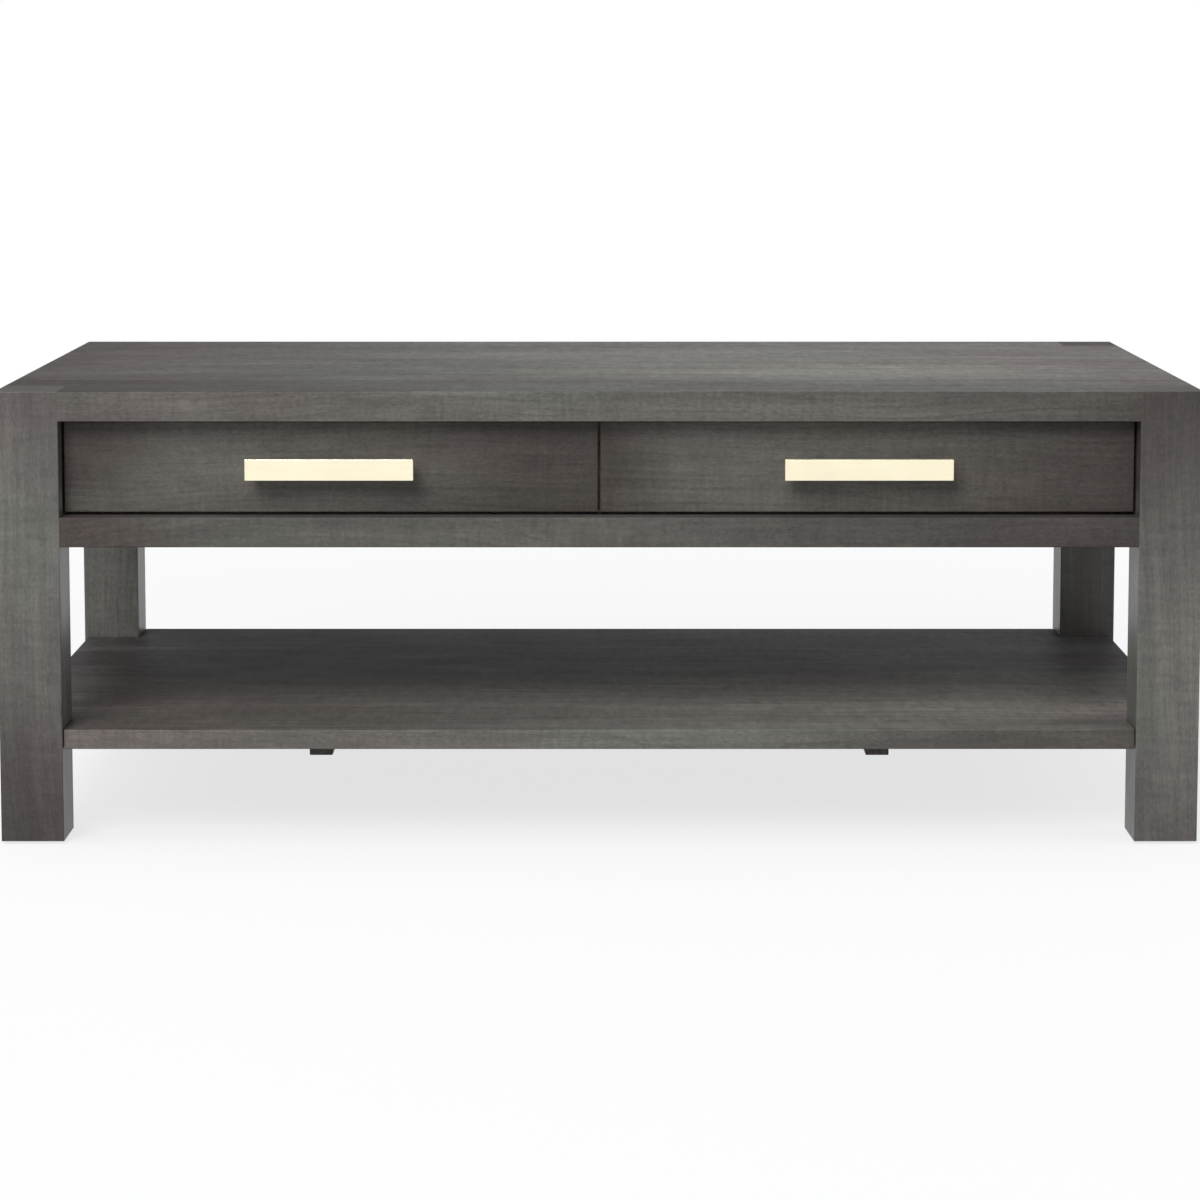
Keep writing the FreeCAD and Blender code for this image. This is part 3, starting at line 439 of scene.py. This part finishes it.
def hue_drift(board):
    """Factors that drift between a rosier and a greener stain."""
    hue = board.noise(board.vector("ADD", board.own, HUE_PLACE), **HUE).outputs[0]
    return board.mix(board.band(hue, *HUE_BAND), opaque(ROSIER), opaque(GREENER))


def fleck_factor(board, amount):
    """Short flecks and long threads, as a factor round 1."""
    fleck = board.centred(board.figure(FLECK))
    thread = board.times(board.centred(board.figure(THREAD)), THREAD_SHARE)
    strength = board.times(amount, FLECK_GAIN)
    return board.plus(board.times(board.plus(fleck, thread), strength), 1.0)


def tick_factor(board, tick):
    """Fine ticks across the grain, in patches, as a factor round 1."""
    strength = board.times(board.band(board.figure(TICK_PATCH), *TICK_BAND), TICK_SWING)
    return board.plus(board.times(board.centred(tick), strength), 1.0)


def dash_factor(board, line):
    """Pale and dark dashes along the grain and the dark lines of the rings, as a factor round 1."""
    dash = board.figure(DASH)
    lighter = board.times(board.band(dash, *PALE_DASHES), PALE_DASH_LIGHT)
    dark_dash = board.times(board.band(dash, *DARK_DASHES), DARK_DASH_DEPTH)
    darker = board.plus(dark_dash, board.times(line, LINE_DEPTH))
    return board.plus(board.minus(lighter, darker), 1.0)


def inside_bay(board):
    """1 on the faces that look into the drawer bay, and 0 on all others."""
    x, y, z = board.parts
    between_legs = board.math("LESS_THAN", board.math("ABSOLUTE", x), BAY_SIDE)
    behind_front = board.math("GREATER_THAN", y, BAY_FRONT)
    over_rail = board.math("GREATER_THAN", z, BAY_FLOOR)
    under_top = board.math("LESS_THAN", z, BAY_CEILING)
    return board.times(board.times(between_legs, behind_front), board.times(over_rail, under_top))


def varnish(board, gloss, speck, patch):
    """A satin varnish, a little uneven, duller on the ends and left off in the drawer bay."""
    reflection, roughness = gloss
    specks = board.times(board.centred(speck), SPECK_DULLNESS)
    uneven = board.plus(specks, board.swing(patch, PATCH_DULLNESS))
    ends = board.times(board.facing(ALONG), END_DULLNESS)
    varnished = board.plus(board.times(uneven, roughness), ends)
    board.set(Roughness=board.math("MAXIMUM", varnished, inside_bay(board)))
    board.shader.inputs["IOR"].default_value = WOOD_IOR
    board.shader.inputs["Specular IOR Level"].default_value = reflection


def relief(board, fibre, speck, tick, joint):
    """Fine relief of the surface, with a groove at each joint."""
    fine = board.plus(board.times(fibre, FIBRE_RELIEF), board.times(speck, SPECK_RELIEF))
    height = board.plus(fine, board.times(tick, TICK_RELIEF))
    board.bump(board.minus(height, board.times(joint, JOINT_RELIEF)), RELIEF_STRENGTH, RELIEF_DEPTH)


def stained_wood(node, axis, tones, seed, edge_tones=None, painted_light_across=None, staves=(), light=1.0,
                 gloss=BOARD_GLOSS, flecks=EDGE_FLECKS):
    """A board of grey stained wood: tones along it, cloudy stain, rings, fibres, cross ticks and knots.

    Edge tones are those of its long edges. Painted light across is factors on the colour from the low side
    of the board to the high side, which paint light and shade across it. Staves are the glued strips in the
    same
    order: how light each one is, and how far its tones are moved along it. Light is a factor on the whole
    colour, and flecks is how strong they are.
    """
    board = Board("stained_" + node, axis, seed)
    stave_light, stave_move, joint = glued_staves(board, node, staves)
    bend = board.bend(BEND, BEND_REACH)
    cloud = board.figure(CLOUD)
    patch = board.figure(PATCH)
    streak = board.figure(STREAK)
    fibre = board.figure(FIBRE)
    speck = board.figure(SPECK)
    tick = board.figure(TICK)
    ring, line = growth_rings(board, bend, cloud, patch)
    knot = board.math("MAXIMUM", spots(board, **KNOTS), spots(board, **PINS))
    if edge_tones:
        on_edge = board.facing(ACROSS)
        flecks = board.plus(board.times(on_edge, EDGE_FLECKS - flecks), flecks)
        stave_light = board.mix(on_edge, stave_light, opaque(WHITE))

    tone = board_tone(board, node, tones, painted_light_across, edge_tones, stave_move)
    colour = board.mix(1.0, tone, hue_drift(board), blend="MULTIPLY")
    swings = ((cloud, CLOUD_SWING), (patch, PATCH_SWING), (streak, STREAK_SWING), (fibre, FIBRE_SWING),
              (speck, SPECK_SWING), (ring, RING_SWING))
    for value, amount in swings:
        colour = board.scale(colour, board.swing(value, amount))
    end_rings = board.times(board.facing(ALONG), board.times(board.centred(ring), END_RING_SWING))
    factors = (fleck_factor(board, flecks),
               board.times(tick_factor(board, tick), stave_light),
               dash_factor(board, line),
               board.minus(light, board.times(knot, KNOT_DEPTH)),
               board.plus(1.0, end_rings),
               board.minus(1.0, board.times(joint, JOINT_DEPTH)))
    for factor in factors:
        colour = board.scale(colour, factor)
    board.set(Base_Color=colour)
    varnish(board, gloss, speck, patch)
    relief(board, fibre, speck, tick, joint)
    paint(node, board)


# Tones along the boards, from the low end, at shares of the length
TOP_TONES = [(0.0, DEEP), (0.05, PLUM), (0.17, SLATE), (0.35, DIM), (0.58, OLIVE), (0.80, OLIVE),
             (0.88, ROSE), (1.0, ROSE)]
SHELF_TONES = [(0.0, ROSE), (0.05, PLUM), (0.22, PLUM), (0.36, DIM), (0.54, OLIVE), (0.70, OLIVE),
               (0.86, PALE), (0.98, ROSE)]
EDGE_TONES = [(0.0, ROSE), (0.22, ROSE), (0.31, OLIVE), (0.54, OLIVE), (0.76, DIM), (0.86, DUSK),
              (1.0, PLUM)]
RAIL_TONES = [(0.0, PLUM), (0.09, PLUM), (0.17, OLIVE), (0.38, OLIVE), (0.70, DIM), (0.86, DUSK),
              (1.0, DEEP)]
DRAWER_TONES = [(0.0, PLUM), (0.05, PLUM), (0.18, OLIVE), (0.55, OLIVE), (0.80, PLUM), (1.0, PLUM)]
APRON_TONES = [(0.0, PLUM), (0.20, ROSE), (0.40, OLIVE), (0.70, OLIVE), (0.88, ROSE), (1.0, PLUM)]
FOOT_DARK = [(0.0, DEEP), (0.06, DEEP), (0.18, PLUM), (0.32, DIM), (0.50, OLIVE), (0.74, OLIVE),
             (0.84, ROSE), (1.0, DUSK)]
HEAD_DARK = flip(FOOT_DARK)
TOP_EDGE_TONES = shade(EDGE_TONES, 1.46)
SHELF_EDGE_TONES = shade(EDGE_TONES, 1.62)

# Factors across the wide boards, from the front, at shares of the width: painted light and shade, not stain
# Painted sheen on the top: darker at the front and lighter towards the back, in place of the varnish's
# reflection
TOP_PAINTED_SHEEN = [(0.0, (0.89, 0.88, 0.89)), (0.13, (0.94, 0.93, 0.94)), (0.21, (1.00, 1.00, 1.00)),
              (0.29, (1.11, 1.11, 1.09)), (0.37, (1.26, 1.26, 1.22)), (0.45, (1.27, 1.27, 1.24)),
              (0.55, (1.14, 1.14, 1.14)), (0.68, (1.20, 1.20, 1.20)), (1.0, (1.20, 1.20, 1.20))]
# Painted shadow of the drawer case on the shelf: light at the front, dark and bluish towards the back
SHELF_PAINTED_SHADOW = [(0.0, (1.08, 1.08, 1.07)), (0.16, (1.18, 1.18, 1.16)), (0.27, (1.05, 1.05, 1.04)),
                (0.37, (0.92, 0.92, 0.92)), (0.49, (0.55, 0.56, 0.58)), (0.62, (0.53, 0.54, 0.57)),
                (0.76, (0.64, 0.65, 0.69)), (1.0, (0.69, 0.71, 0.76))]

# Strips of the wide boards, from the front: how light each one is, and how far its tones are moved
TOP_STAVES = ((0.99, 0.05), (1.03, 0.0), (0.98, 0.02), (1.02, 0.01), (0.98, 0.03))
SHELF_STAVES = ((1.00, 0.0), (1.02, -0.02), (0.98, 0.02), (1.02, 0.0), (0.99, 0.02))

# Legs: their tones, and how light each one is. The back legs are darker as painted shade, and the right
# front leg is lighter than the left as painted light, to even out the key light falling off towards it
LEGS = (("front_left", FOOT_DARK, 0.81), ("front_right", HEAD_DARK, 0.89),
        ("back_left", HEAD_DARK, 0.67), ("back_right", FOOT_DARK, 0.67))

stained_wood("top_panel", "x", TOP_TONES, seed=1.0, edge_tones=TOP_EDGE_TONES, painted_light_across=TOP_PAINTED_SHEEN,
             staves=TOP_STAVES, gloss=TOP_GLOSS, flecks=TOP_FLECKS)
stained_wood("lower_shelf", "x", SHELF_TONES, seed=2.0, edge_tones=SHELF_EDGE_TONES,
             painted_light_across=SHELF_PAINTED_SHADOW, staves=SHELF_STAVES, flecks=SHELF_FLECKS)
stained_wood("front_rail", "x", RAIL_TONES, seed=3.0, light=0.75)
stained_wood("back_apron", "x", APRON_TONES, seed=4.0)
for number, (corner, leg_tones, leg_light) in enumerate(LEGS):
    stained_wood("leg_" + corner, "z", leg_tones, seed=5.0 + number, light=leg_light, gloss=LEG_GLOSS,
                 flecks=LEG_FLECKS)
for number, side in enumerate(SIDES):
    stained_wood(side + "_drawer_front", "x", DRAWER_TONES, seed=9.0 + number, light=0.80)
    stained_wood("side_apron_" + side, "y", APRON_TONES, seed=11.0 + number)
    stained_wood("shelf_batten_" + side, "y", APRON_TONES, seed=13.0 + number)


# Pale wood inside

MAPLE = (0.62, 0.46, 0.30)
POPLAR = (0.50, 0.40, 0.26)
PALE_RANGE = (0.90, 1.08)
PALE_BEND = grain(2.0, 4.0, detail=1.0)
PALE_BEND_REACH = 0.06
PALE_CLOUD = grain(3.0, 14.0, detail=3.0)
PALE_CLOUD_BAND = (0.3, 0.7)
PALE_STREAK = grain(2.0, 60.0)
PALE_STREAK_SWING = 0.10
PALE_FIBRE = grain(8.0, 450.0, detail=3.0, rough=0.6)
PALE_FIBRE_SWING = 0.08
PORE = grain(60.0, 900.0, detail=1.0)
PORE_BAND = (0.62, 0.72)
PORE_DEPTH = 0.16
PALE_END_DEPTH = 0.28
PALE_GLOSS = (0.4, 0.42)
PALE_DULLNESS = 0.15
PALE_RELIEF_STRENGTH = 0.2
PALE_RELIEF_DEPTH = 0.0003


def pale_wood(node, axis, tone, seed):
    """Clear-finished pale wood of the drawer boxes and the inner frame."""
    board = Board("pale_" + node, axis, seed)
    board.bend(PALE_BEND, PALE_BEND_REACH)
    cloud = board.band(board.figure(PALE_CLOUD), *PALE_CLOUD_BAND)
    streak = board.figure(PALE_STREAK)
    fibre = board.figure(PALE_FIBRE)
    pore = board.band(board.figure(PORE), *PORE_BAND)
    darker, lighter = [opaque([min(1.0, part * factor) for part in tone]) for factor in PALE_RANGE]
    colour = board.mix(cloud, darker, lighter)
    colour = board.scale(colour, board.swing(streak, PALE_STREAK_SWING))
    colour = board.scale(colour, board.swing(fibre, PALE_FIBRE_SWING))
    colour = board.scale(colour, board.minus(1.0, board.times(pore, PORE_DEPTH)))
    colour = board.scale(colour, board.minus(1.0, board.times(board.facing(ALONG), PALE_END_DEPTH)))
    reflection, roughness = PALE_GLOSS
    board.set(Base_Color=colour, Roughness=board.times(board.swing(fibre, PALE_DULLNESS), roughness))
    board.shader.inputs["Specular IOR Level"].default_value = reflection
    board.bump(board.minus(fibre, pore), PALE_RELIEF_STRENGTH, PALE_RELIEF_DEPTH)
    paint(node, board)


for number, side in enumerate(SIDES):
    pale_wood(side + "_drawer_subfront", "x", MAPLE, seed=21.0 + number)
    pale_wood(side + "_drawer_back", "x", MAPLE, seed=23.0 + number)
    pale_wood(side + "_drawer_side_outer", "y", MAPLE, seed=25.0 + number)
    pale_wood(side + "_drawer_side_inner", "y", MAPLE, seed=27.0 + number)
    pale_wood(side + "_drawer_bottom", "y", MAPLE, seed=29.0 + number)
    pale_wood("slide_packer_" + side, "y", POPLAR, seed=31.0 + number)
pale_wood("upper_stretcher", "x", POPLAR, seed=33.0)
pale_wood("centre_divider", "y", POPLAR, seed=34.0)
pale_wood("shelf_dowels", "y", MAPLE, seed=35.0)


# Metal: its tones, its fine lines as features a metre, and how they change its colour and roughness

CHAMPAGNE = (1.0, 0.915, 0.69)
ZINC = (0.62, 0.63, 0.64)
SCREW = (0.50, 0.49, 0.47)
HANDLE_LINES = (6.0, 2500.0, 2500.0)
RAIL_LINES = (900.0, 5.0, 900.0)
CAGE_LINES = (600.0, 20.0, 600.0)
SCREW_LINES = (700.0, 700.0, 700.0)
HANDLE_ROUGHNESS = 0.30
RAIL_ROUGHNESS = 0.36
CAGE_ROUGHNESS = 0.32
SCREW_ROUGHNESS = 0.38
BRUSH_SWING = 0.05
BRUSH_DULLNESS = 0.25
BRUSH_RELIEF_STRENGTH = 0.12
BRUSH_RELIEF_DEPTH = 0.0001
HAZE = (40.0, 40.0, 40.0)
HAZE_SWING = 0.03
SPANGLES = 180.0
RAIL_SPANGLE = 0.05


def metal(name, nodes, tone, stretch, roughness, spangle=0.0):
    """Brushed or plated metal with fine lines. Spangle is how far the crystals of the plating show."""
    recipe = Recipe(name)
    place = recipe.object_place()
    lines = recipe.noise(place, stretch, detail=3.0, rough=0.6).outputs[0]
    haze = recipe.noise(place, HAZE, detail=3.0).outputs[0]
    crystals = recipe.add("TexVoronoi", {"Vector": place, "Scale": SPANGLES}).outputs["Color"]
    colour = recipe.scale(tone, recipe.swing(lines, BRUSH_SWING))
    colour = recipe.scale(colour, recipe.swing(haze, HAZE_SWING))
    colour = recipe.scale(colour, recipe.swing(recipe.red(crystals), spangle))
    uneven = recipe.times(recipe.centred(lines), BRUSH_DULLNESS)
    recipe.set(Base_Color=colour, Roughness=recipe.plus(uneven, roughness))
    recipe.shader.inputs["Metallic"].default_value = 1.0
    recipe.bump(lines, BRUSH_RELIEF_STRENGTH, BRUSH_RELIEF_DEPTH)
    for node in nodes:
        paint(node, recipe)


all_nodes = sorted(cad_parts)
handles = [side + "_handle" for side in SIDES]
slide_rails = [node for node in all_nodes if "_slide_" in node and "rail" in node]
cages_and_clips = [node for node in all_nodes if "cages" in node or node == "top_clips"]
screws = [node for node in all_nodes if node.endswith("screws")]
metal("champagne_metal", handles, CHAMPAGNE, HANDLE_LINES, HANDLE_ROUGHNESS)
metal("zinc_steel", slide_rails, ZINC, RAIL_LINES, RAIL_ROUGHNESS, RAIL_SPANGLE)
metal("cage_steel", cages_and_clips, ZINC, CAGE_LINES, CAGE_ROUGHNESS)
metal("screw_steel", screws, SCREW, SCREW_LINES, SCREW_ROUGHNESS)


# Black nylon

NYLON = (0.018, 0.018, 0.019)
NYLON_ROUGHNESS = 0.5
PEBBLE = (900.0, 900.0, 900.0)
PEBBLE_SWING = 0.25
PEBBLE_RELIEF_STRENGTH = 0.2
PEBBLE_RELIEF_DEPTH = 0.0002
SCUFF = (60.0, 60.0, 60.0)
SCUFF_SWING = 0.2


def nylon(node):
    """Moulded black nylon of the glides."""
    recipe = Recipe("nylon")
    place = recipe.object_place()
    pebble = recipe.noise(place, PEBBLE).outputs[0]
    scuff = recipe.swing(recipe.noise(place, SCUFF, detail=3.0).outputs[0], SCUFF_SWING)
    colour = recipe.scale(recipe.scale(NYLON, recipe.swing(pebble, PEBBLE_SWING)), scuff)
    recipe.set(Base_Color=colour, Roughness=recipe.times(scuff, NYLON_ROUGHNESS))
    recipe.bump(pebble, PEBBLE_RELIEF_STRENGTH, PEBBLE_RELIEF_DEPTH)
    paint(node, recipe)


nylon("leg_glides")


# Floor, surround, lights and camera

def glow_share(recipe):
    """1 where the background is seen, straight or in a reflection, and 0 where it lights the object."""
    path = recipe.add("LightPath").outputs
    seen = recipe.math("MAXIMUM", path["Is Camera Ray"], path["Is Glossy Ray"])
    return recipe.math("MAXIMUM", seen, path["Is Transmission Ray"])


def surround():
    """A pale backdrop all round, white at the horizon and dimmer overhead."""
    world = bpy.data.worlds.new("surround")
    bpy.context.scene.world = world
    world.use_nodes = True
    tree = world.node_tree
    height = tree.nodes.new("ShaderNodeSeparateXYZ")
    tree.links.new(tree.nodes.new("ShaderNodeTexCoord").outputs["Generated"], height.inputs[0])
    fade = tree.nodes.new("ShaderNodeValToRGB")
    fade.color_ramp.interpolation = "EASE"
    tree.links.new(height.outputs["Z"], fade.inputs[0])
    stops = ((WHITE_UP_TO, WHITE), (SKY_FROM, SKY_LIGHT))
    for point, (place, colour) in zip(fade.color_ramp.elements, stops):
        point.position = place
        point.color = opaque(colour)
    tree.links.new(fade.outputs[0], tree.nodes["Background"].inputs["Color"])


def floor():
    """A plain pale floor that keeps a light shadow of the table and turns white further away."""
    half = FLOOR_SPREAD / 2
    mesh = bpy.data.meshes.new("floor")
    corners = [(-half, -half, FLOOR_LEVEL), (half, -half, FLOOR_LEVEL), (half, half, FLOOR_LEVEL),
               (-half, half, FLOOR_LEVEL)]
    mesh.from_pydata(corners, [], [(0, 1, 2, 3)])
    piece = bpy.data.objects.new("floor", mesh)
    bpy.context.scene.collection.objects.link(piece)
    recipe = Recipe("floor")
    seen = glow_share(recipe)
    recipe.set(Base_Color=recipe.mix(seen, opaque(FLOOR_BOUNCE), opaque(FLOOR_SHOWN)))
    recipe.shader.inputs["Roughness"].default_value = FLOOR_ROUGHNESS
    recipe.shader.inputs["Specular IOR Level"].default_value = 0.0
    glow = recipe.add("Emission", {"Color": opaque(WHITE), "Strength": 1.0})
    distance = recipe.length(recipe.object_place())
    share = recipe.times(seen, recipe.band(distance, *SHADOW_REACH, FLOOR_GLOW, 1.0))
    choice = recipe.add("MixShader", {0: share, 1: recipe.shader.outputs[0], 2: glow.outputs[0]})
    surface = recipe.tree.nodes["Material Output"].inputs["Surface"]
    recipe.tree.links.new(choice.outputs[0], surface)
    mesh.materials.append(recipe.material)


def area_light(name, side, height, distance, size, level, tint=WHITE):
    """A soft box aimed at the table. Level is the share of a colour that a face turned to it shows."""
    light = bpy.data.lights.new(name, "AREA")
    light.shape = "RECTANGLE"
    light.size, light.size_y = size
    light.energy = level * math.pi ** 2 * distance ** 2
    light.color = tint
    lamp = bpy.data.objects.new(name, light)
    bpy.context.scene.collection.objects.link(lamp)
    outwards = math.cos(height)
    towards = Vector((math.sin(side) * outwards, -math.cos(side) * outwards, math.sin(height)))
    lamp.location = TABLE_CENTRE + towards * distance
    lamp.rotation_euler = (-towards).to_track_quat("-Z", "Y").to_euler()
    lamp.visible_camera = False


def camera():
    """The camera in front of the table, tilted a little down."""
    data = bpy.data.cameras.new("camera")
    data.sensor_width = CAMERA_SENSOR
    data.lens = CAMERA_LENS
    data.shift_y = CAMERA_SHIFT
    made = bpy.data.objects.new("camera", data)
    made.location = TABLE_CENTRE + CAMERA_OFFSET
    made.rotation_euler = (math.pi / 2 - CAMERA_PITCH, 0.0, 0.0)
    bpy.context.scene.collection.objects.link(made)
    bpy.context.scene.camera = made


surround()
floor()
area_light("key_light", KEY_SIDE, KEY_HEIGHT, KEY_DISTANCE, KEY_SIZE, KEY_LEVEL)
area_light("overhead_light", OVERHEAD_SIDE, OVERHEAD_HEIGHT, OVERHEAD_DISTANCE, OVERHEAD_SIZE,
           OVERHEAD_LEVEL, OVERHEAD_TINT)
area_light("left_fill", -FILL_SIDE, FILL_HEIGHT, FILL_DISTANCE, FILL_SIZE, FILL_LEVEL)
area_light("right_fill", FILL_SIDE, FILL_HEIGHT, FILL_DISTANCE, FILL_SIZE, FILL_LEVEL)
camera()
bpy.context.scene.view_settings.view_transform = "Standard"
